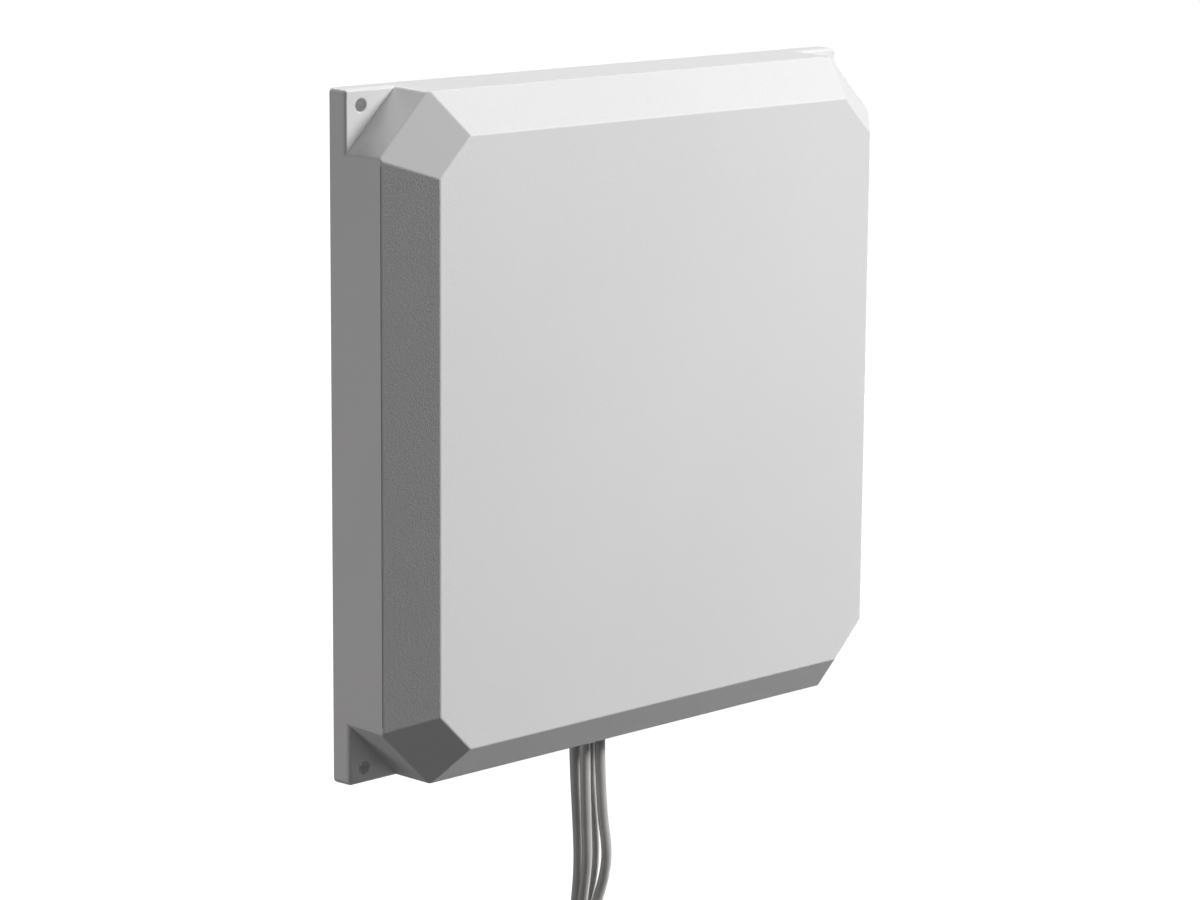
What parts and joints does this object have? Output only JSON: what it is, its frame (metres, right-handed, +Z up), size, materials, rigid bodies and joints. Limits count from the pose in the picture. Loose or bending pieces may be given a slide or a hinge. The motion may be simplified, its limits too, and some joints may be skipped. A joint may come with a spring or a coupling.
{
  "type": "panel antenna",
  "caption": "Flat square wall panel antenna with a bevelled moulded cover, screw lugs at its corners and coaxial leads that end in threaded plugs.",
  "frame": {"origin": "centre of the four wall holes, on the back plane that lies against the wall", "axes": "+Y into the wall, so the front faces -Y; +X to the right as seen from the front; +Z up"},
  "size_m": [0.305, 0.0505, 0.5525],
  "materials": {
    "radome_plastic": "light grey moulded ABS with a fine leather grain, satin side walls",
    "plate_aluminium": "brushed, clear passivated",
    "seal_rubber": "soft black silicone",
    "screw_steel": "bright zinc plated",
    "insert_brass": "turned brass",
    "label_film": "blank printed-film label stock, matt",
    "vent_film": "matt white breathable film",
    "patch_metal": "tinned sheet, satin",
    "nylon": "natural nylon",
    "contact_gold": "gold plated",
    "gland_rubber": "moulded EPDM, matt",
    "cable_jacket": "extruded grey PVC jacket, satin",
    "tie_nylon": "natural nylon cable tie",
    "sleeve_rubber": "black heat-shrink sleeve",
    "plug_nickel": "nickel plated brass, satin",
    "insulator_white": "white PTFE"
  },
  "bodies": {
    "root": {"radome": "radome_plastic", "back_plate": "plate_aluminium", "back_seal": "seal_rubber", "back_screws": "screw_steel", "thread_inserts": "insert_brass", "label_plate": "label_film", "vent_membrane": "vent_film", "ground_plane": "plate_aluminium", "standoffs": "screw_steel", "rear_standoff_screws": "screw_steel", "front_standoff_screws": "screw_steel", "lower_patches": "patch_metal", "upper_patches": "patch_metal", "patch_posts": "nylon", "patch_spacers": "nylon", "patch_screws": "nylon", "patch_nuts": "nylon", "feed_blocks": "insert_brass", "feed_pins": "contact_gold", "inner_lead_1": "cable_jacket", "inner_lead_2": "cable_jacket", "inner_lead_3": "cable_jacket", "inner_lead_4": "cable_jacket", "cable_gland": "gland_rubber", "clamp_base": "nylon", "clamp_middle": "nylon", "clamp_cap": "nylon", "clamp_screws": "screw_steel", "cable_1": "cable_jacket", "cable_2": "cable_jacket", "cable_3": "cable_jacket", "cable_4": "cable_jacket", "cable_coil": "cable_jacket", "coil_ties": "tie_nylon", "lead_tie": "tie_nylon", "crimp_sleeve_1": "sleeve_rubber", "crimp_sleeve_2": "sleeve_rubber", "crimp_sleeve_3": "sleeve_rubber", "crimp_sleeve_4": "sleeve_rubber", "plug_body_1": "plug_nickel", "plug_body_2": "plug_nickel", "plug_body_3": "plug_nickel", "plug_body_4": "plug_nickel", "plug_seals": "seal_rubber", "plug_insulators": "insulator_white", "plug_contacts": "contact_gold"},
    "nut_1": {"coupling_nut_1": "plug_nickel"},
    "nut_2": {"coupling_nut_2": "plug_nickel"},
    "nut_3": {"coupling_nut_3": "plug_nickel"},
    "nut_4": {"coupling_nut_4": "plug_nickel"}
  },
  "joints": [
    {"name": "nut_1_turn", "type": "hinge", "parent": "root", "child": "nut_1", "pos_m": [-0.038, -0.032, -0.39], "axis": [0, 0, 1], "continuous": true},
    {"name": "nut_2_turn", "type": "hinge", "parent": "root", "child": "nut_2", "pos_m": [-0.038, -0.016, -0.388], "axis": [0, 0, 1], "continuous": true},
    {"name": "nut_3_turn", "type": "hinge", "parent": "root", "child": "nut_3", "pos_m": [-0.054, -0.032, -0.388], "axis": [0, 0, 1], "continuous": true},
    {"name": "nut_4_turn", "type": "hinge", "parent": "root", "child": "nut_4", "pos_m": [-0.054, -0.016, -0.391], "axis": [0, 0, 1], "continuous": true}
  ]
}
